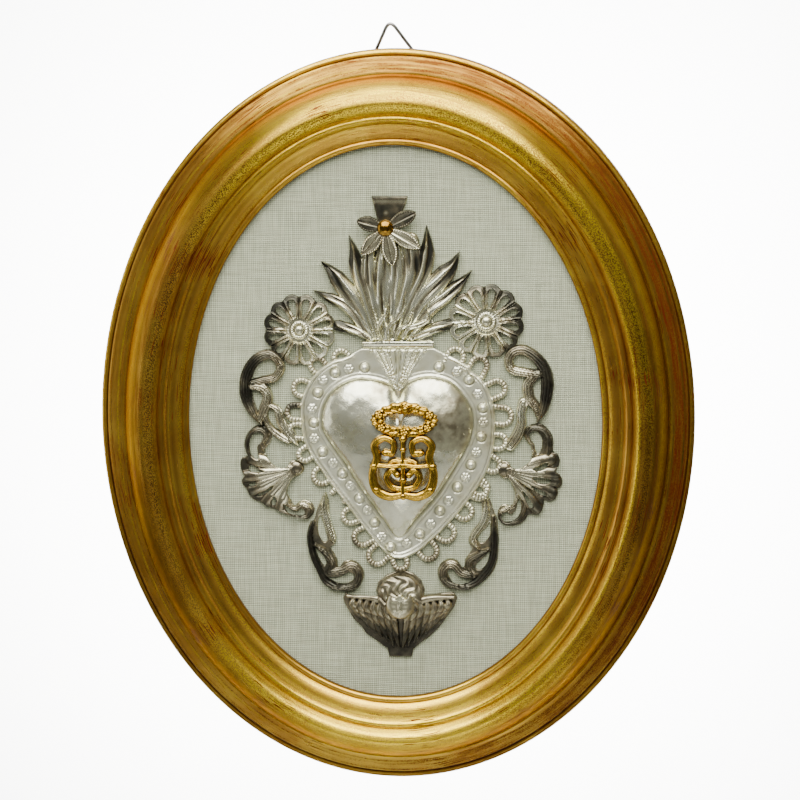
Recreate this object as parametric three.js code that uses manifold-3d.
import * as THREE from 'three';
import Module from 'manifold-3d';

// Framed votive heart: an oval gilt moulding holding a linen panel with a silver heart on it.
// Millimetres. X right, Y to the back, Z up. The front faces -Y.
// Everything is laid out about the middle of the oval, with Y = 0 on the frame's back,
// and moved at the end so that the origin is where the wall nail bears in the hanger ring.

const wasm = await Module();
wasm.setup();

// Oval frame
const sightHalfWidth = 85;
const sightHalfHeight = 115;
const rebateWidth = 5;
const rebateDepth = 15.3;
const mouldingWidth = 38;
const ovalSides = 48;

// Back board and linen
const boardClearance = 0.3;
const edgeClearance = 0.7;
const linenThickness = 0.6;
const boardThickness = 3;
const linenFront = rebateDepth - boardClearance;
const hemWidth = 12;
const panelSides = 36;

// Silver work
const seatClearance = 0.3;
const seat = linenFront + seatClearance;
const sheet = 0.8;
const ridge = 2.4;
const reliefRoot = 0.4;
const reliefBase = seat + reliefRoot;
const domeHeight = 10.2;
const partClearance = 0.35;
const roomBack = seat - 6;
const roomFront = seat + 15;

// Hanger
const wireRadius = 0.7;
const ringSide = 20;
const ringBend = 2.2;
const barInset = 5.4;
const barHeight = sightHalfHeight + mouldingWidth - barInset;
const strapWidth = 8;
const strapThickness = 0.7;
const loopClearance = 0.3;
const barDepth = 2;
const hangerOffset = -1;
const hangerTurn = -6 * Math.PI / 180;
const ringLean = 10.2 * Math.PI / 180;

// Wall nail point, seen from the middle of the oval's back
const nailRise = 14.65;
const nailPoint = [-2.54, -0.65, barHeight + nailRise];

const group = new THREE.Group();

// Materials
const gilt = new THREE.MeshStandardMaterial({ color: 0xc79a3a, metalness: 0.8, roughness: 0.4 });
const card = new THREE.MeshStandardMaterial({ color: 0x8d7355, roughness: 0.9 });
const cloth = new THREE.MeshStandardMaterial({ color: 0xcfcdbf, roughness: 0.95 });
const steel = new THREE.MeshStandardMaterial({ color: 0x83827d, metalness: 0.9, roughness: 0.35 });
const silver = new THREE.MeshStandardMaterial({ color: 0xc9c6bd, metalness: 0.9, roughness: 0.3 });
const giltBrass = new THREE.MeshStandardMaterial({ color: 0xc98f1e, metalness: 0.9, roughness: 0.3 });
const brass = new THREE.MeshStandardMaterial({ color: 0xb5873a, metalness: 0.9, roughness: 0.3 });

// Solids from corner positions and triangles, with equal corners merged
function solid(positions, triangles) {
  const seen = new Map();
  const corners = [];
  const index = positions.map((p) => {
    const key = p.map((value) => Math.round(value * 10000)).join(' ');
    if (!seen.has(key)) {
      seen.set(key, corners.length / 3);
      corners.push(...p);
    }
    return seen.get(key);
  });
  const faces = [];
  for (const [a, b, c] of triangles) {
    const face = [index[a], index[b], index[c]];
    if (face[0] !== face[1] && face[1] !== face[2] && face[2] !== face[0]) faces.push(...face);
  }
  const mesh = new wasm.Mesh({
    numProp: 3,
    vertProperties: new Float32Array(corners),
    triVerts: new Uint32Array(faces),
  });
  const body = new wasm.Manifold(mesh);
  if (body.volume() > 0) return body;
  const turned = [];
  for (let i = 0; i < faces.length; i += 3) turned.push(faces[i], faces[i + 2], faces[i + 1]);
  return new wasm.Manifold(new wasm.Mesh({
    numProp: 3,
    vertProperties: new Float32Array(corners),
    triVerts: new Uint32Array(turned),
  }));
}

function join(parts) {
  return parts.reduce((sum, part) => sum.add(part));
}

function cut(body, tools) {
  return tools.reduce((rest, tool) => rest.subtract(tool), body);
}

function addPart(name, body, material, move) {
  const mesh = body.getMesh();
  const geometry = new THREE.BufferGeometry();
  geometry.setAttribute('position', new THREE.BufferAttribute(new Float32Array(mesh.vertProperties), 3));
  geometry.setIndex(new THREE.BufferAttribute(new Uint32Array(mesh.triVerts), 1));
  if (move) geometry.applyMatrix4(move);
  geometry.translate(-nailPoint[0], -nailPoint[1], -nailPoint[2]);
  const part = new THREE.Mesh(geometry.toNonIndexed(), material);
  part.geometry.computeVertexNormals();
  part.name = name;
  group.add(part);
}

// Tube through rows of section points; a closed tube has no end faces
function tube(rows, closed) {
  const size = rows[0].length;
  const positions = rows.flat();
  const triangles = [];
  const last = closed ? rows.length : rows.length - 1;
  for (let i = 0; i < last; i++) {
    const near = i * size;
    const far = ((i + 1) % rows.length) * size;
    for (let j = 0; j < size; j++) {
      const k = (j + 1) % size;
      triangles.push([near + j, near + k, far + k], [near + j, far + k, far + j]);
    }
  }
  if (!closed) {
    const end = (rows.length - 1) * size;
    for (let j = 1; j < size - 1; j++) {
      triangles.push([0, j + 1, j], [end, end + j, end + j + 1]);
    }
  }
  return solid(positions, triangles);
}

// Flat piece from an outline in X and Z, between two heights above the frame's back
function plate(outline, holes, low, high) {
  const shape = new THREE.Shape(outline.map(([x, z]) => new THREE.Vector2(x, z)));
  for (const hole of holes) {
    shape.holes.push(new THREE.Path(hole.map(([x, z]) => new THREE.Vector2(x, z))));
  }
  const geometry = new THREE.ExtrudeGeometry(shape, { depth: high - low, bevelEnabled: false });
  const flat = geometry.getAttribute('position');
  const positions = [];
  const triangles = [];
  for (let i = 0; i < flat.count; i++) positions.push([flat.getX(i), -low - flat.getZ(i), flat.getY(i)]);
  for (let i = 0; i < flat.count; i += 3) triangles.push([i, i + 1, i + 2]);
  return solid(positions, triangles);
}

function oval(halfWidth, halfHeight, sides, cx = 0, cz = 0) {
  const points = [];
  for (let i = 0; i < sides; i++) {
    const angle = i / sides * 2 * Math.PI;
    points.push([cx + halfWidth * Math.cos(angle), cz + halfHeight * Math.sin(angle)]);
  }
  return points;
}

function smooth(points, count, closed) {
  const curve = new THREE.CatmullRomCurve3(
    points.map(([x, z]) => new THREE.Vector3(x, 0, z)), closed, 'centripetal');
  const line = curve.getSpacedPoints(count).map((p) => [p.x, p.z]);
  if (closed) line.pop();
  return line;
}

function between(values, t) {
  if (values.length === 1) return values[0];
  const place = t * (values.length - 1);
  const i = Math.min(Math.floor(place), values.length - 2);
  return values[i] + (values[i + 1] - values[i]) * (place - i);
}

// Raised band along a line: flat below, rounded above, with widths spread along it
function band(points, widths, height, count, base = seat, closed = false) {
  const line = smooth(points, count, closed);
  const rows = line.map(([x, z], i) => {
    const before = line[closed ? (i + line.length - 1) % line.length : Math.max(i - 1, 0)];
    const after = line[closed ? (i + 1) % line.length : Math.min(i + 1, line.length - 1)];
    const length = Math.hypot(after[0] - before[0], after[1] - before[1]);
    const nx = -(after[1] - before[1]) / length;
    const nz = (after[0] - before[0]) / length;
    const half = between(widths, closed ? 0 : i / (line.length - 1)) / 2;
    const rise = Math.min(height, half * 1.2);
    return [[-1, 0], [-0.95, 0.5], [-0.4, 1], [0.4, 1], [0.95, 0.5], [1, 0]].map(([side, up]) =>
      [x + nx * side * half, -(base + rise * up), z + nz * side * half]);
  });
  return tube(rows, closed);
}

// Room kept clear round a band
function bandRoom(points, widths, count) {
  const line = smooth(points, count, false);
  const edges = [1, -1].map((side) => line.map(([x, z], i) => {
    const before = line[Math.max(i - 1, 0)];
    const after = line[Math.min(i + 1, line.length - 1)];
    const length = Math.hypot(after[0] - before[0], after[1] - before[1]);
    const half = side * (between(widths, i / (line.length - 1)) / 2 + partClearance);
    return [x - (after[1] - before[1]) / length * half, z + (after[0] - before[0]) / length * half];
  }));
  return plate([...edges[0], ...edges[1].reverse()], [], roomBack, roomFront);
}

// Low round boss
function boss(x, z, radius, height, base, sides = 6, form = [[1, 0], [0.8, 0.65], [0.3, 1]]) {
  const rows = [];
  for (const [share, up] of form) {
    const ring = oval(radius * share, radius * share, sides, x, z);
    rows.push(ring.map((p) => [p[0], -(base + height * up), p[1]]));
  }
  return tube(rows, false);
}

// Frame moulding: section as distance outward from the sight edge and height above the back
const section = [
  [rebateWidth, 0], [rebateWidth, rebateDepth], [0, rebateDepth], [0, 17.6], [1.2, 18.5], [2.6, 18.9],
  [7.6, 20.9], [8.8, 20.7], [10.4, 22.8], [12.2, 22.3], [14.5, 25.2], [17.5, 26], [20.5, 25], [23.5, 21.9],
  [25.8, 17.2], [27, 12.2], [27.5, 9.6], [29.5, 9.9], [34.4, 8.3], [35.6, 7.2], [37, 7.7],
  [mouldingWidth, 6.5], [mouldingWidth, 0],
];
const mouldingRows = [];
for (let i = 0; i < ovalSides; i++) {
  const angle = i / ovalSides * 2 * Math.PI;
  mouldingRows.push(section.map(([out, height]) => [
    (sightHalfWidth + out) * Math.cos(angle),
    -height,
    (sightHalfHeight + out) * Math.sin(angle),
  ]));
}
let moulding = tube(mouldingRows, true);

// Back board and the linen stretched over it
const linenHalfWidth = sightHalfWidth + rebateWidth - edgeClearance;
const linenHalfHeight = sightHalfHeight + rebateWidth - edgeClearance;
const boardInset = linenThickness + boardClearance;
const boardFront = linenFront - boardInset;
const boardBack = boardFront - boardThickness;
const nailX = -3.3;
const nailZ = 81.7;
const nailHole = oval(1, 1, 8, nailX, nailZ);
const panelOval = (inset) => oval(linenHalfWidth - inset, linenHalfHeight - inset, panelSides);
const board = plate(panelOval(boardInset), [nailHole], boardBack, boardFront);
const hemBack = boardBack - boardClearance - linenThickness;
const linen = cut(plate(panelOval(0), [], hemBack, linenFront), [
  plate(panelOval(linenThickness), [], hemBack + linenThickness, linenFront - linenThickness),
  plate(panelOval(hemWidth), [], hemBack - 1, boardFront - 1),
  plate(nailHole, [], hemBack - 1, roomFront),
]);
addPart('backing_board', board, card);
addPart('linen_panel', linen, cloth);

// Flat points driven into the rebate wall that keep the panel in
const pointAngles = [35, 90, 145, 215, 270, 325];
const pointWidth = 6;
const pointThickness = 0.6;
const pointClearance = 0.3;
const pointBase = hemBack - pointClearance - pointThickness;
pointAngles.forEach((degrees, i) => {
  const angle = degrees * Math.PI / 180;
  const wallX = (sightHalfWidth + rebateWidth) * Math.cos(angle);
  const wallZ = (sightHalfHeight + rebateWidth) * Math.sin(angle);
  const lean = Math.atan2(Math.sin(angle) / linenHalfHeight, Math.cos(angle) / linenHalfWidth);
  const turn = ([along, side]) => [
    wallX + along * Math.cos(lean) - side * Math.sin(lean),
    wallZ + along * Math.sin(lean) + side * Math.cos(lean),
  ];
  const half = pointWidth / 2;
  const room = half + pointClearance;
  const shape = [[-8, -half], [3, -half], [6, 0], [3, half], [-8, half]].map(turn);
  const slot = [[-1, -room], [3.2, -room], [6.6, 0], [3.2, room], [-1, room]].map(turn);
  addPart(`panel_point_${i + 1}`, plate(shape, [], pointBase, pointBase + pointThickness), steel);
  const slotFront = pointBase + pointThickness + pointClearance;
  moulding = moulding.subtract(plate(slot, [], pointBase - pointClearance, slotFront));
});

// Hanger strap: a strip folded round the ring's bar, nailed to the back at the top.
// Laid out about the bar's middle, then set a little out of plumb.
const toHanger = new THREE.Matrix4().makeTranslation(hangerOffset, barDepth, barHeight)
  .multiply(new THREE.Matrix4().makeRotationY(hangerTurn));
const loopRadius = wireRadius + loopClearance;
const strapOuter = loopRadius + strapThickness;
const strapBack = 2 * strapThickness - strapOuter;
const strapEnd = -20;
const strapOutline = [[-strapOuter, strapEnd]];
for (let i = 0; i <= 8; i++) {
  const angle = (180 - i * 25) * Math.PI / 180;
  strapOutline.push([strapOuter * Math.cos(angle), strapOuter * Math.sin(angle)]);
}
strapOutline.push([strapBack, -3.2], [strapBack, strapEnd]);
const strap = plate(strapOutline, [oval(loopRadius, loopRadius, 12)], -strapWidth / 2, strapWidth / 2)
  .rotate([0, 0, 90]);
const tackHeights = [-7, -12.4];
const tackRadius = 0.6;
function rod(x, z, radius, front, back, sides = 8) {
  const ends = [front, back].map((y) => oval(radius, radius, sides, x, z).map((p) => [p[0], y, p[1]]));
  return tube(ends, false);
}
const strapHoles = tackHeights.map((z) => rod(0, z, tackRadius + 0.3, -4, 4));
addPart('hanger_strap', cut(strap, strapHoles), steel, toHanger);

// Two tacks through the strap into the wood
const tackLength = 9;
tackHeights.forEach((z, i) => {
  const headUnder = strapBack + 0.3;
  const rings = [
    [tackRadius, headUnder - tackLength], [tackRadius, headUnder], [1.8, headUnder],
    [1.6, headUnder + 0.6], [0.8, headUnder + 0.9],
  ];
  const rows = rings.map(([radius, y]) => oval(radius, radius, 8, 0, z).map((p) => [p[0], y, p[1]]));
  addPart(`hanger_tack_${i + 1}`, tube(rows, false), brass, toHanger);
  const hole = rod(0, z, tackRadius + 0.3, -barDepth - 8, 0).transform(toHanger.elements);
  moulding = moulding.subtract(hole);
});
addPart('frame_moulding', moulding, gilt);

// Ring: a wire triangle with rounded corners, its lower side in the strap's loop
const apexHeight = ringSide * Math.sqrt(3) / 2;
const corners = [[-ringSide / 2, 0], [ringSide / 2, 0], [0, apexHeight]];
const ringLine = [];
corners.forEach(([x, z], i) => {
  const before = corners[(i + 2) % 3];
  const after = corners[(i + 1) % 3];
  const trim = ringBend / Math.tan(Math.PI / 6);
  const start = [x + (before[0] - x) / ringSide * trim, z + (before[1] - z) / ringSide * trim];
  const end = [x + (after[0] - x) / ringSide * trim, z + (after[1] - z) / ringSide * trim];
  for (let k = 0; k <= 3; k++) {
    const t = k / 3;
    const [near, middle, far] = [(1 - t) ** 2, 2 * t * (1 - t), t ** 2];
    ringLine.push([0, 1].map((c) => start[c] * near + [x, z][c] * middle + end[c] * far));
  }
});
const ringRows = ringLine.map(([x, z], i) => {
  const before = ringLine[(i + ringLine.length - 1) % ringLine.length];
  const after = ringLine[(i + 1) % ringLine.length];
  const length = Math.hypot(after[0] - before[0], after[1] - before[1]);
  const nx = (after[1] - before[1]) / length;
  const nz = -(after[0] - before[0]) / length;
  return oval(wireRadius, wireRadius, 8).map(([a, b]) => [x + nx * a, b, z + nz * a]);
});
const toRing = toHanger.clone().multiply(new THREE.Matrix4().makeRotationX(ringLean));
addPart('hanger_ring', tube(ringRows, true), steel, toRing);

// Rosettes: twelve lobes, each with a pierced slot, round a boss in a beaded ring
const rosetteSpots = [[-38.9, 39.3, 14.9, 'rosette_left'], [37.6, 43.5, 15.5, 'rosette_right']];
for (const [x, z, radius, name] of rosetteSpots) {
  const rim = [];
  const slots = [];
  for (let i = 0; i < 12; i++) {
    const middle = i * Math.PI / 6;
    for (const [share, offset] of [[0.93, -0.5], [1, -0.2], [1, 0.2]]) {
      const angle = middle + offset * Math.PI / 6;
      rim.push([x + radius * share * Math.cos(angle), z + radius * share * Math.sin(angle)]);
    }
    slots.push([[0.36, 0], [0.74, -0.2], [0.83, -0.08], [0.83, 0.08], [0.74, 0.2]].map(([share, offset]) => {
      const angle = middle + offset * Math.PI / 6;
      return [x + radius * share * Math.cos(angle), z + radius * share * Math.sin(angle)];
    }));
  }
  addPart(name, join([
    plate(rim, slots, seat, seat + sheet + 0.4),
    band(oval(radius * 0.26, radius * 0.26, 12, x, z), [1.2], 2 - reliefRoot, 12, reliefBase, true),
    boss(x, z, radius * 0.19, 3.1 - reliefRoot, reliefBase, 8),
  ]), silver);
}
const roomSides = 24;
const rosetteRoom = rosetteSpots.map(([x, z, radius]) => {
  const reach = (radius + partClearance) / Math.cos(Math.PI / roomSides);
  return plate(oval(reach, reach, roomSides, x, z), [], roomBack, roomFront);
});

// Flames, with the rim they rise from and the tab at the top
const flameOutline = [
  [-9.2, 94.6], [5.7, 94.8], [3.8, 88], [2.9, 81.8], [9.4, 76.7], [13.2, 82.9],
  [15.3, 76.7], [15.9, 72.1], [13.6, 64.5], [13.3, 62.7], [16.9, 65.8], [21.1, 69.5],
  [26.6, 72.2], [26.3, 67.5], [23.9, 62.8], [19.8, 58], [20.1, 55.7], [27.3, 61.5],
  [31.7, 64.6], [29.9, 59.2], [26.3, 54.5], [23.2, 50.2], [19.1, 46.5], [18.6, 44.4],
  [22.8, 44.7], [22.8, 40.3], [16.6, 37], [16.6, 32.6], [-13.5, 32.1], [-13.5, 35.8],
  [-17.9, 37.9], [-23.1, 38.6], [-23.1, 43], [-18.4, 42.6], [-23.6, 47.8], [-28.3, 50.1],
  [-33.3, 55.9], [-27.3, 55.4], [-21.3, 53.4], [-25.7, 58.5], [-27.5, 63.2], [-30.1, 68.1],
  [-24.7, 66.4], [-18.4, 62.3], [-17.9, 69.6], [-17.6, 74.3], [-18.1, 78.8], [-15.3, 76.4],
  [-12.7, 74.9], [-9.6, 76.5], [-5.4, 81.7], [-7, 86.9],
];
const tongues = [
  [[[-9.5, 36.7], [-15.3, 49.2], [-28.3, 66.8]], [3.5, 6, 1]],
  [[[-5.4, 36.7], [-12.7, 51.9], [-15.8, 66.5], [-17.6, 76.9]], [3, 5, 4, 1]],
  [[[-0.1, 36.8], [-2.8, 52], [-7.5, 67.6]], [3, 6, 4]],
  [[[0.9, 36.8], [-0.2, 52], [0.8, 65.6]], [3, 6, 4]],
  [[[2, 36.8], [6.1, 52.1], [11.7, 66.8], [13.2, 80.9]], [3, 6, 5, 1]],
  [[[6.1, 36.9], [10.8, 49.6], [25.2, 70.1]], [3, 6, 1.5]],
  [[[9.8, 36.9], [15.5, 48], [29.9, 62.4]], [3, 6, 1]],
  [[[-10.6, 36.1], [-17.9, 46], [-31, 54.5]], [3, 5, 1]],
];
const flames = join([
  plate(flameOutline, [], seat, seat + sheet),
  ...tongues.map(([line, widths]) => band(line, widths, ridge - reliefRoot, 3, reliefBase)),
  band([[-13.2, 34], [16.3, 34.4]], [3.4], 3.2 - reliefRoot, 1, reliefBase),
]);
const nailRoom = plate(nailHole, [], roomBack, roomFront);
addPart('flame_plate', cut(flames, [...rosetteRoom, nailRoom]), silver);

// Flower on the tab: five pointed petals, the nail through its middle
const petals = [[14.1, 27], [16.3, -30], [15.7, -79], [14.5, -131], [12, 166]];
const flowerBase = seat + ridge + partClearance;
const flowerParts = petals.map(([length, degrees]) => {
  const angle = degrees * Math.PI / 180;
  const outline = [[0, -1.6], [0.35, -2.4], [0.65, -2.6], [0.85, -1.6], [1, 0], [0.85, 1.6], [0.65, 2.6],
    [0.35, 2.4], [0, 1.6]].map(([along, side]) => [
    nailX + along * length * Math.cos(angle) - side * Math.sin(angle),
    nailZ + along * length * Math.sin(angle) + side * Math.cos(angle),
  ]);
  return plate(outline, [], flowerBase, flowerBase + sheet);
});
flowerParts.push(plate(oval(3.2, 3.2, 10, nailX, nailZ), [], flowerBase, flowerBase + sheet));
addPart('flower', cut(join(flowerParts), [nailRoom]), silver);

// Domed nail that holds the top of the silver to the board
const headBase = flowerBase + sheet + partClearance;
const nailRings = [
  [0.6, boardBack + 0.4], [0.6, headBase], [3.5, headBase], [3.3, headBase + 1.3], [2.4, headBase + 2.3],
  [1, headBase + 2.8],
];
addPart('brass_nail', tube(nailRings.map(([radius, height]) =>
  oval(radius, radius, 12, nailX, nailZ).map((p) => [p[0], -height, p[1]])), false), brass);

// Heart: flat border with beaded loops outside it, pearls and florets, and a hollow two-lobed dome
const heartLine = [
  [1.4, 27.6], [-11.8, 27.9], [-24.1, 27.3], [-33.4, 20.5], [-38.1, 11.2], [-38.7, 2],
  [-36.7, -8.8], [-29.5, -20.7], [-20.8, -32.5], [-11.7, -44.6], [-5.1, -52.5],
  [0.9, -56.2], [8.8, -53.5], [17.3, -46.2], [28.5, -33.7], [36.9, -20.9], [40.8, -8.7],
  [41.2, 5.9], [37.3, 17.8], [30, 23.9], [19, 28.3],
];
const domeLine = [
  [1.7, 11], [0.6, 14.3], [-2.3, 16.8], [-8.7, 18.8], [-15.2, 19.1], [-21.8, 16.5],
  [-27, 11.8], [-29.7, 5.1], [-29.7, -1.6], [-25.8, -8.6], [-20.4, -16.1], [-15.2, -24.8],
  [-10.1, -31.9], [-4.5, -39.8], [1.8, -47.3], [8.6, -39.6], [17.1, -29.5], [21.7, -22.7],
  [26.2, -15.3], [29.8, -8.5], [32.1, -1.2], [32, 5.5], [30, 10.1], [25.4, 16],
  [20.2, 19.2], [13.6, 20.1], [7.1, 18.4], [3, 14.8],
];
const domeX = 1.3;
const domeZ = -5;
const cleft = 0.42;
const domeSides = domeLine.length;
const domeWall = 0.7;
function domeRow(share, height, inset) {
  return domeLine.map(([x, z]) => {
    const reach = Math.hypot(x - domeX, z - domeZ);
    const scale = share * (reach - inset) / reach;
    const px = domeX + (x - domeX) * scale;
    const pz = domeZ + (z - domeZ) * scale;
    const upper = Math.min(Math.max((pz + 14) / 20, 0), 1);
    const fold = 1 - cleft * upper * Math.exp(-(((px - domeX) / 4.5) ** 2));
    return [px, -(seat + height * fold), pz];
  });
}
const domeShape = [[1, 0.16], [0.93, 0.42], [0.82, 0.68], [0.64, 0.88], [0.4, 0.98], [0.12, 1]];
const rim = 0.9;
const domeRows = [
  domeRow(1, 0, -1.3), domeRow(1, rim + sheet, -1.3), domeRow(1, rim + sheet, 0),
  ...domeShape.map(([share, up]) => domeRow(share, up * domeHeight, 0)),
  ...domeShape.filter((row, i) => i % 2).map(([share, up]) =>
    domeRow(share, up * domeHeight - domeWall, domeWall)).reverse(),
  domeRow(1, 0, domeWall),
];
domeRows[2] = domeRows[2].map(([x, y, z]) => [x, -(seat + rim + sheet), z]);
domeRows[1] = domeRows[1].map(([x, y, z]) => [x, -(seat + rim + sheet), z]);
const domeTop = domeShape.length + 2;
function shellOf(rows, top) {
  const size = rows[0].length;
  const positions = rows.flat();
  const triangles = [];
  for (let i = 0; i < rows.length; i++) {
    if (i === top) continue;
    const near = i * size;
    const far = ((i + 1) % rows.length) * size;
    for (let j = 0; j < size; j++) {
      const k = (j + 1) % size;
      triangles.push([near + j, near + k, far + k], [near + j, far + k, far + j]);
    }
  }
  for (const [row, turned] of [[top, true], [top + 1, false]]) {
    const middle = positions.length;
    const ring = rows[row];
    const sum = ring.reduce((total, p) => total.map((value, c) => value + p[c] / size), [0, 0, 0]);
    positions.push(sum);
    for (let j = 0; j < size; j++) {
      const a = row * size + j;
      const b = row * size + (j + 1) % size;
      triangles.push(turned ? [a, b, middle] : [b, a, middle]);
    }
  }
  return solid(positions, triangles);
}
const dome = shellOf(domeRows, domeTop);

// Loops round the border: a scalloped strip with an eye in each loop
const loopCount = 20;
const loopReach = 5.2;
const loopHalf = 3.9;
const borderSteps = 64;
const plainSteps = 6;
const border = smooth(heartLine, borderSteps, true);
function laceOutline(extra) {
  const lace = [];
  const eyes = [];
  for (let j = 1 - plainSteps; j < plainSteps; j++) lace.push(border[(j + borderSteps) % borderSteps]);
  for (let i = 0; i < loopCount; i++) {
    const j = Math.round(plainSteps + (i + 0.5) / loopCount * (borderSteps - 2 * plainSteps));
    const [x, z] = border[j];
    const before = border[j - 1];
    const after = border[(j + 1) % borderSteps];
    const length = Math.hypot(after[0] - before[0], after[1] - before[1]);
    const tx = (after[0] - before[0]) / length;
    const tz = (after[1] - before[1]) / length;
    const at = ([along, out]) => {
      const reach = out * loopReach + extra;
      return [x + tx * along * loopHalf + tz * reach, z + tz * along * loopHalf - tx * reach];
    };
    lace.push(...[[-0.95, 0.3], [-0.8, 0.8], [0, 1.03], [0.8, 0.8], [0.95, 0.3]].map(at));
    eyes.push([[-0.55, 0.1], [-0.4, 0.6], [0.4, 0.6], [0.55, 0.1]].map(at));
  }
  return { lace, eyes };
}
const { lace, eyes } = laceOutline(0);
const heartRoom = plate(laceOutline(3 * partClearance).lace, [], roomBack, roomFront);
const domeHole = domeRow(1, 0, -0.6).map(([x, y, z]) => [x, z]);
const pearls = [
  [18.3, 24.4], [30.6, 19.3], [36.2, 7.8], [35.6, -4.3], [31.4, -16.1], [25.9, -25.6],
  [18.6, -35.6], [10.3, -45.5], [-12.2, 24], [-24.3, 21.7], [-31.5, 13.3], [-33.2, 0.8],
  [-29.7, -11.3], [-21.5, -20.4], [-14.5, -30.8], [-8.3, -40.8], [-1.6, -51.1],
];
const florets = [
  [25.6, 22.7], [34.1, 13.5], [36.4, 1.8], [33.6, -10.8], [29.2, -21.3], [22.2, -31.1],
  [14.8, -41.2], [4.9, -49.5], [-18.7, 23.3], [-29.4, 18.6], [-33.9, 6.8], [-33.1, -5.7],
  [-25.5, -16], [-18.3, -25.4], [-11.2, -35.6], [-5.4, -46.7],
];
const flutes = [];
for (let i = 0; i < 9; i++) {
  const flute = [[-10.5 + i * 3, 31.2], [1.2 + (i - 4) * 0.45, 17]];
  flutes.push(band(flute, [2.4, 0.7], 1.7 - reliefRoot, 1, reliefBase));
}
const heart = join([
  plate(lace, [domeHole, ...eyes], seat, seat + sheet),
  plate(border, [domeHole], reliefBase, seat + sheet + 0.35),
  plate([[-10.5, 31.6], [14.9, 32], [14.5, 24.9], [-10.9, 24.5]], [], seat, seat + sheet + 0.35),
  ...flutes,
  dome,
  ...pearls.map(([x, z]) => boss(x, z, 2.3, 2.1, reliefBase, 6, [[1, 0], [0.55, 1]])),
  ...florets.map(([x, z]) => boss(x, z, 2.4, 1.4, reliefBase, 6, [[1, 0], [0.6, 1]])),
]);
const rivetSpots = [[5.2, 8.7, 'wreath_rivet'], [4.2, -27.4, 'ornament_rivet']];
const rivetRoom = rivetSpots.map(([x, z]) => plate(oval(0.9, 0.9, 8, x, z), [], roomBack, roomFront));
addPart('heart_plate', cut(heart, [...rosetteRoom, ...rivetRoom]), silver);

// Scrolls beside the heart, each built from raised bands
const scrolls = {
  upper_scroll_left: [
    [[[-54.6, -0.1], [-58, 4.3], [-60.8, 10.6], [-61.3, 17.3], [-59.6, 23.3], [-55.9, 27.6],
  [-51.3, 29], [-47.7, 26.4], [-46.9, 22.8], [-49.1, 19.5], [-53.7, 18.1]],
      [0.8, 3.6, 4.6, 4.6, 4.4, 4, 3.8, 3.6, 3.4, 3.2, 2.6], 10],
    [[[-59.3, 18], [-54.7, 15.7], [-52.7, 11.4], [-54.1, 6.1], [-55.1, 1.1]], [2, 3.6, 3, 3, 2], 4],
    [[[-49.8, 7.5], [-47.8, 2.2], [-45.5, -3.8], [-40.6, -8]], [2.4, 4.4, 5, 1], 4],
    [[[-54.8, 1.4], [-51.5, -1.9], [-46.2, -4.5]], [2.2, 3, 3], 3],
  ],
  upper_scroll_right: [
    [[[58.5, 2.3], [61, 7.3], [62.2, 13.3], [62.5, 19.2], [61.1, 24.5], [57.5, 29],
  [52.6, 31.9], [48.4, 30.8], [46.7, 27.5], [48.1, 23.9], [52.7, 22.7], [59.2, 21.8]],
      [0.8, 3.4, 4.4, 4.6, 4.4, 4, 3.8, 3.8, 3.4, 3.4, 3.4, 3], 10],
    [[[58.6, 22.4], [54.7, 17.8], [55.1, 12.5], [57.7, 8.6], [58.8, 4.6]], [3, 3.6, 3.8, 3.4, 1.6], 4],
    [[[52.8, 10.1], [51.9, 5.8], [52, 1.2], [50.4, -3.5], [47.5, -7.9]], [4, 3, 3.2, 4.2, 4], 4],
    [[[52.2, 9.5], [56.7, 9.9]], [2.4, 2.4], 1],
  ],
};
const scrollRoom = [];
for (const [name, bands] of Object.entries(scrolls)) {
  const body = join(bands.map(([line, widths, count]) => band(line, widths, 1.9, count)));
  addPart(name, cut(body, [...rosetteRoom, heartRoom]), silver);
  scrollRoom.push(...bands.map(([line, widths, count]) => bandRoom(line, widths, count)));
}

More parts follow.
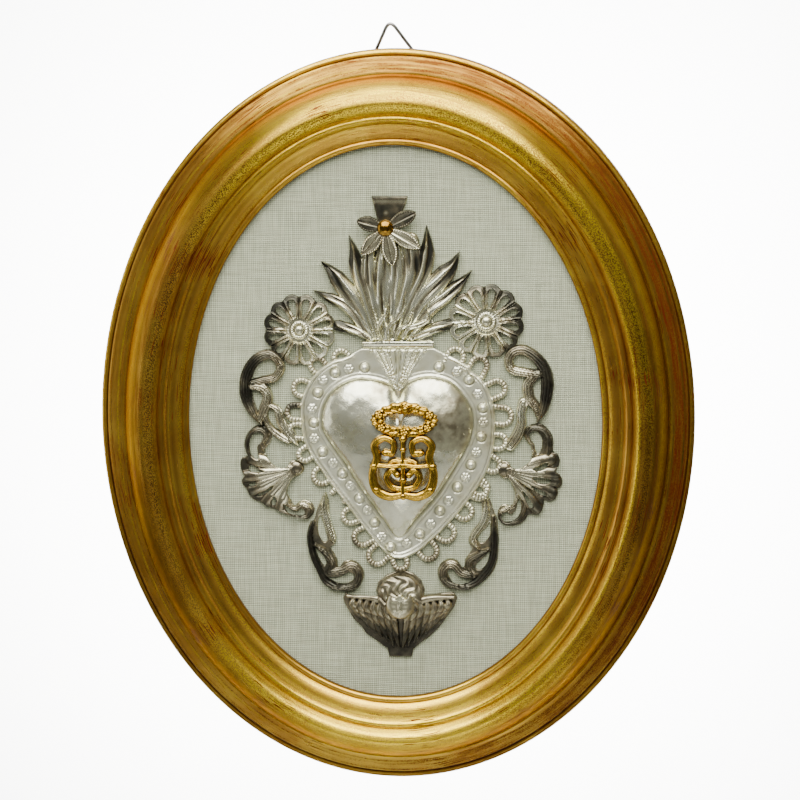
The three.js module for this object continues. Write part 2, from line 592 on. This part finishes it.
// Half shells: a pierced fan of lobes with a curl at each end and a knob at the hub
const shells = {
  shell_left: {
    outline: [[-51, -2.6], [-53.8, -0.9], [-56.5, -0.6], [-59.2, -2.1], [-61.4, -4.9], [-62.2, -8.3],
  [-61.6, -11.7], [-61, -13.5], [-63.3, -14.4], [-64, -17], [-63.4, -20.1], [-62.1, -21.8],
  [-63.4, -23.5], [-63.2, -25.6], [-61.1, -27.9], [-60.5, -29.9], [-58.2, -32.1],
  [-54.9, -33.2], [-53, -34.8], [-49.1, -36.2], [-45.4, -37.7], [-40.2, -39.2],
  [-36, -39.9], [-33.5, -36.9], [-33.8, -33.8], [-35.9, -32.1], [-38.1, -31.8],
  [-40.2, -33], [-41.7, -34.2], [-43.6, -30.5], [-44.5, -27.8], [-43.5, -24.7],
  [-42, -22.2], [-40.2, -21.8], [-38, -20.2], [-37.4, -18.1], [-39.2, -15.9],
  [-41.7, -15.1], [-43.5, -16], [-44.7, -17.9], [-47.8, -18.2], [-50.2, -16.7],
  [-52.6, -13.7], [-53.8, -10.9], [-51.4, -7.8], [-50.7, -4.7]],
    holes: [
      [[-59.7, -6.7], [-58.3, -4.2], [-56.5, -3.4], [-55, -4.3], [-54.4, -6], [-55.6, -8.2],
  [-56.9, -9.5], [-56.7, -11.9], [-56, -14.4], [-57.8, -14.4], [-59.5, -12.3],
  [-59.9, -9.2]],
      [[-60.4, -18.2], [-59, -17.5], [-56.9, -18.7], [-53.9, -19.7], [-56.9, -20.3],
  [-60, -19.7]],
      [[-60.3, -25.3], [-57.6, -24.5], [-57.3, -25.5], [-59.9, -26.2]],
      [[-57.3, -29.9], [-53.9, -28.4], [-50.9, -26], [-50.9, -27.3], [-54.5, -29.8],
  [-56.4, -30.5]],
      [[-51.2, -33.2], [-50, -30], [-49.1, -31.9], [-50, -34.4]],
      [[-46.3, -33.7], [-44.8, -34.3], [-42.4, -36.6], [-40.2, -36.7], [-39.1, -35.6],
  [-37.8, -35.9], [-37.5, -37.9], [-40.2, -38.1], [-44.2, -37.1]],
    ],
    hub: [[-40.8, -18.4]],
    ribs: [[-59, -16], [-60.9, -22.2], [-59.1, -28], [-53.3, -32.9], [-47.5, -34.7]],
  },
  shell_right: {
    outline: [[57, 1.2], [59.5, 1.5], [62.2, -0.1], [64.3, -2.8], [65.2, -5.9], [65.1, -10.1],
  [66.8, -11.1], [67.8, -13.5], [67.4, -16.3], [66, -18.2], [67.9, -19.7], [69, -22.5],
  [68.3, -24.9], [66.8, -25.8], [67.3, -27.4], [66, -30.2], [63.3, -31.1], [61.4, -30.3],
  [61.4, -32.3], [60.3, -35.5], [57.6, -36.8], [55, -36.7], [53.8, -39.1], [50.8, -41.1],
  [47.4, -41.8], [44.5, -41], [42.9, -39], [42.4, -36.2], [43.2, -33.9], [44.9, -32.5],
  [47.3, -32.8], [48.8, -31.9], [49.5, -28.7], [48.9, -25.6], [47.9, -23.2], [46.9, -21.5],
  [45.2, -21.9], [43.4, -20.5], [42.2, -18.5], [41.7, -16.7], [43.1, -15], [45.4, -14.3],
  [47.1, -15.2], [48.2, -17], [51.2, -17.3], [54.6, -15.1], [56.3, -12.7], [56.2, -8.9],
  [54.5, -6.5], [53, -3.7], [53.3, -1.3], [55.1, 0.5]],
    holes: [
      [[55.5, -3], [56.8, -1.7], [58.9, -2.4], [60.3, -4.5], [60.6, -7], [60, -9.8],
  [58.6, -11.2], [57.8, -9.2], [57.4, -7.1], [55.9, -5.1]],
      [[57, -17.4], [59.7, -15.8], [62.4, -14.7], [63.2, -15.4], [62.1, -17], [59.1, -18.1]],
      [[57.1, -20.8], [63.9, -21.5], [64.2, -22.9], [62.2, -23.6], [58.8, -23]],
      [[56.1, -23.9], [59.1, -25.6], [62.4, -27.3], [62.1, -28.4], [60.2, -28.5], [57.5, -26]],
      [[52.7, -26.4], [54.9, -29], [57.1, -32.3], [56.7, -33.6], [55.5, -33.4], [53.7, -29.4]],
      [[43.9, -37.6], [44.8, -36], [46.3, -35.9], [48, -36.9], [50.1, -34.5], [50.5, -31.9],
  [51.4, -30.5], [52.1, -32.9], [51.7, -36], [50.1, -38.3], [47.4, -39.6], [45.2, -39.5]],
    ],
    hub: [[45, -18.1]],
    ribs: [[63.1, -12.9], [65.9, -19.4], [64.6, -26.4], [58.9, -33.4], [53.1, -35.3]],
  },
};
for (const [name, { outline, holes, hub, ribs }] of Object.entries(shells)) {
  const ribBands = ribs.map((end) => band([hub[0], end], [1, 2.2], 1.9 - reliefRoot, 2, reliefBase));
  addPart(name, cut(join([
    plate(outline, [], seat, seat + sheet + 0.4),
    ...ribBands,
    boss(hub[0][0], hub[0][1], 3.2, 2.6 - reliefRoot, reliefBase),
  ]), [...holes.map((hole) => plate(hole, [], roomBack, roomFront)), heartRoom, ...scrollRoom]), silver);
}

// Scrolls below the shells, pierced between their bands
const lowerScrolls = {
  lower_scroll_left: {
    outline: [[-28.9, -28.3], [-27.4, -31.8], [-27, -37.2], [-25.6, -43.1], [-24.4, -46.9],
  [-24.4, -49], [-25.6, -50.8], [-26.9, -51.8], [-25.3, -54.2], [-24, -56.9],
  [-23.9, -59.1], [-22.9, -59.8], [-21.1, -57.6], [-18.7, -57], [-15.8, -57.8],
  [-13.6, -60.2], [-12.8, -62.9], [-13.4, -65.6], [-15.2, -68.4], [-18.2, -69.7],
  [-21.6, -70.3], [-24.8, -70.1], [-28, -68.7], [-30.7, -65.7], [-32.8, -61.1],
  [-34.9, -57.4], [-35.9, -53.6], [-36.6, -49.3], [-36.5, -45.5], [-35.2, -41.3],
  [-33.5, -40], [-31.9, -34.6]],
    holes: [
      [[-30.9, -38.2], [-29.9, -41.3], [-28.8, -45.1], [-28.1, -47.8], [-28.2, -49.1],
  [-29.8, -49.4], [-31.4, -47], [-32.1, -43.5], [-31.8, -40.3]],
      [[-33.2, -52.3], [-32, -53], [-29.8, -55.6], [-28.5, -58.1], [-28.9, -59.4],
  [-29.8, -59.3], [-31.7, -56.2]],
      [[-28, -64.4], [-25.3, -64.7], [-22.1, -63.9], [-19.2, -62.5], [-17.5, -63],
  [-17.2, -64.6], [-18.3, -66.2], [-21.1, -67.1], [-24.3, -66.7], [-26.4, -65.6]],
    ],
    ridges: [
      [[[-34.2, -41.9], [-35.3, -45.5], [-35.3, -49.2], [-34.5, -53.6], [-33, -57.9],
  [-31.2, -62.2], [-28.8, -66.5], [-24.8, -68.9]], 2.6],
      [[[-24.8, -68.9], [-20, -68.9], [-16.3, -67], [-14.7, -63.5], [-15.8, -60.2],
  [-18.4, -59.5], [-22.1, -61.5], [-26.4, -61.8]], 3],
      [[[-32.5, -50.8], [-29.3, -53.5], [-26.4, -56.7], [-25.6, -59.9], [-27.5, -62.1]], 2.8],
      [[[-29, -29.1], [-29.3, -34.5], [-27.9, -40.4], [-26.4, -45.8], [-25.7, -48.5]], 2.2],
    ],
  },
  lower_scroll_right: {
    outline: [[37.2, -29.1], [39.2, -30.5], [41.1, -35.9], [42.2, -38.5], [42.6, -42.6], [42.9, -46.6],
  [42.9, -49.3], [42.6, -54.7], [41.3, -59.6], [38.7, -63.4], [35.3, -66.5], [31.4, -68.7],
  [27.7, -69.3], [24.2, -68.8], [21.8, -68.3], [19.5, -66.7], [18.1, -64.4], [17.7, -61.2],
  [18.6, -58.4], [20.7, -56.5], [23.1, -55.9], [25.5, -56.4], [26.8, -57.7], [28.1, -59.5],
  [29, -58.5], [29, -56.3], [30.7, -53.6], [32, -51.4], [30.8, -49.5], [30.5, -47.4],
  [31.7, -44.1], [33.8, -41.4], [35.6, -38.7], [35.9, -35.2], [35.8, -31.1]],
    holes: [
      [[38.2, -42], [39.2, -40.2], [39.5, -42.6], [39.1, -46], [37, -48.6], [35.3, -48.9],
  [34.2, -47.4], [35.7, -44.6]],
      [[39.1, -52.6], [38.8, -55.3], [37.4, -58.5], [35.5, -60.2], [33.8, -60], [33.3, -58.8],
  [34.7, -57], [37.1, -54.8]],
      [[22.1, -60.7], [23.4, -60.3], [25, -61.6], [27.1, -63.7], [29.8, -64.4], [32.3, -64.4],
  [29.8, -66], [26.6, -66.4], [23.8, -65.4], [22.2, -62.8]],
    ],
    ridges: [
      [[[41, -38.8], [41.3, -43.9], [41.5, -49.3], [40.8, -54.7], [39.2, -58.8], [36.6, -62.4],
  [33.5, -65.7], [29.8, -67.7]], 2.6],
      [[[29.8, -67.7], [24.7, -67.3], [20.5, -64.9], [19.7, -61.1], [22.1, -58.1], [24.7, -58.6],
  [27.6, -61.8], [31.3, -62.5]], 3],
      [[[38.1, -51.6], [34.4, -54.1], [30.8, -56.6], [31, -59.8], [32.9, -62.5]], 2.8],
      [[[37.7, -30], [37.7, -35.9], [35.9, -40.8], [33, -45.2], [32.3, -47.9], [34.7, -51.1]], 2.4],
    ],
  },
};
for (const [name, { outline, holes, ridges }] of Object.entries(lowerScrolls)) {
  addPart(name, cut(join([
    plate(outline, [], seat, seat + sheet + 0.2),
    ...ridges.map(([line, width]) => band(line, [width * 0.5, width, width, width * 0.6], 1.9, 4)),
  ]), [...holes.map((hole) => plate(hole, [], roomBack, roomFront)), heartRoom]), silver);
}

// Winged head: two folded wings with rows of feathers, a round head with curled hair
const wings = [
  [-20.7, -70.9], [-21.6, -73], [-21.1, -75.3], [-19.3, -78.7], [-17, -82.5], [-14, -85.5],
  [-12.2, -88.1], [-7, -91.8], [-4.7, -93.7], [-3.2, -94.4], [-2.5, -97.9], [6.9, -97.8],
  [7.6, -94.6], [10.6, -91.8], [13.5, -89.8], [18, -85.5], [20.9, -81.6], [24.6, -76.2],
  [25.8, -72.4], [24.7, -70.3], [23.1, -70.1], [12, -71.4], [12.3, -68.9], [10.8, -65.1],
  [7.9, -62.5], [4.5, -61.2], [0.8, -61.3], [-3.6, -63.3], [-7, -66.2], [-7.9, -69.7],
  [-7.3, -71.8], [-10.3, -71.6], [-17.4, -71.5],
];
const feathers = [
  [[-5.9, -73.8], [-19.3, -74.9]], [[-4.4, -76.9], [-16.3, -81.7]],
  [[-2.9, -80.6], [-11.8, -87]], [[-0.3, -84.4], [-5.8, -90.7]],
  [[10.5, -73.5], [23.8, -73.6]], [[9, -76.6], [20.9, -80.1]],
  [[7.5, -80.4], [16.1, -86]], [[5.3, -84.3], [9.8, -91.1]],
  [[2.5, -85.1], [2.4, -96.2]],
];
const curls = [
  [-5.9, -69.3], [-4.4, -66.2], [-1.8, -63.9], [1.2, -62.6], [4.1, -62.6], [7.1, -64],
  [9.3, -66.3], [10.5, -69.3], [-4, -72.3], [9, -72.4],
];
const [headX, headZ] = [[2.5, -74.8]][0];
const headRows = [[1, 0], [1, 2], [0.88, 4], [0.6, 5.3], [0.18, 5.7]].map(([share, up]) =>
  oval(5.9 * share, 7.4 * share, 10, headX, headZ).map((p) => [p[0], -(seat + up), p[1]]));
addPart('winged_head', join([
  plate(wings, [], seat, seat + sheet),
  ...feathers.map((line) => band(line, [3, 4.2, 1.4], 2.2 - reliefRoot, 2, reliefBase)),
  ...curls.map(([x, z]) => boss(x, z, 2.2, 4.2 - reliefRoot, reliefBase)),
  tube(headRows, false),
  boss(headX, headZ - 0.6, 1.1, 3.5, seat + 3),
]), silver);

// Gilt wreath and scroll ornament riveted on the dome
const ornamentBase = seat + domeHeight + partClearance;
const wreathX = 4.8;
const wreathZ = 4.1;
const leaves = [];
for (let i = 0; i < 12; i++) {
  const angle = (i + 0.5) / 12 * 2 * Math.PI;
  const [x, z] = [wreathX + 10.8 * Math.cos(angle), wreathZ + 4.6 * Math.sin(angle)];
  leaves.push(boss(x, z, 2.2, 2 - reliefRoot, ornamentBase + reliefRoot, 5, [[1, 0], [0.5, 1]]));
}
const wreathRim = oval(12.6, 6, 18, wreathX, wreathZ);
const wreathEye = oval(8, 2.8, 16, wreathX, wreathZ);
addPart('gilt_wreath', cut(join([
  plate(wreathRim, [wreathEye], ornamentBase, ornamentBase + 1),
  ...leaves,
]), rivetRoom), giltBrass);
const axisX = 4.2;
const volute = [
  [0, -26.8], [-6, -27.6], [-11, -24.6], [-12.6, -18], [-10.6, -11.6], [-11.6, -6.4], [-8, -3.6],
  [-3.8, -5.4], [-4.2, -9.6], [-7, -9.4],
];
const innerCurl = [[0, -24.5], [-4.5, -23.5], [-6.8, -19.6], [-4.4, -16.6], [-2.4, -18.6]];
const stem = [[0, -27.8], [0, -20], [0, -10], [0, -3.4]];
const sides = [-1, 1];
const place = (line, side) => line.map(([x, z]) => [axisX - side * x, z]);
addPart('gilt_ornament', cut(join([
  band(place(stem, 1), [2.2, 3.6, 2, 3.2], 1.8, 5, ornamentBase),
  ...sides.map((side) => band(place(volute, side), [3, 3.4, 3, 2.6, 2], 1.8, 11, ornamentBase)),
  ...sides.map((side) => band(place(innerCurl, side), [2.4, 2, 2], 1.6, 6, ornamentBase)),
  band(place([[-12, -14.6], [12, -14.6]], 1), [1.6, 2, 1.6], 1.4, 4, ornamentBase),
]), rivetRoom), giltBrass);
for (const [x, z, name] of rivetSpots) {
  const headBack = ornamentBase + 2.3;
  const rivet = [[0.6, ornamentBase - 6], [0.6, headBack], [1.1, headBack], [0.9, headBack + 0.6]];
  addPart(name, tube(rivet.map(([radius, height]) =>
    oval(radius, radius, 8, x, z).map((p) => [p[0], -height, p[1]])), false), giltBrass);
}

export default group;
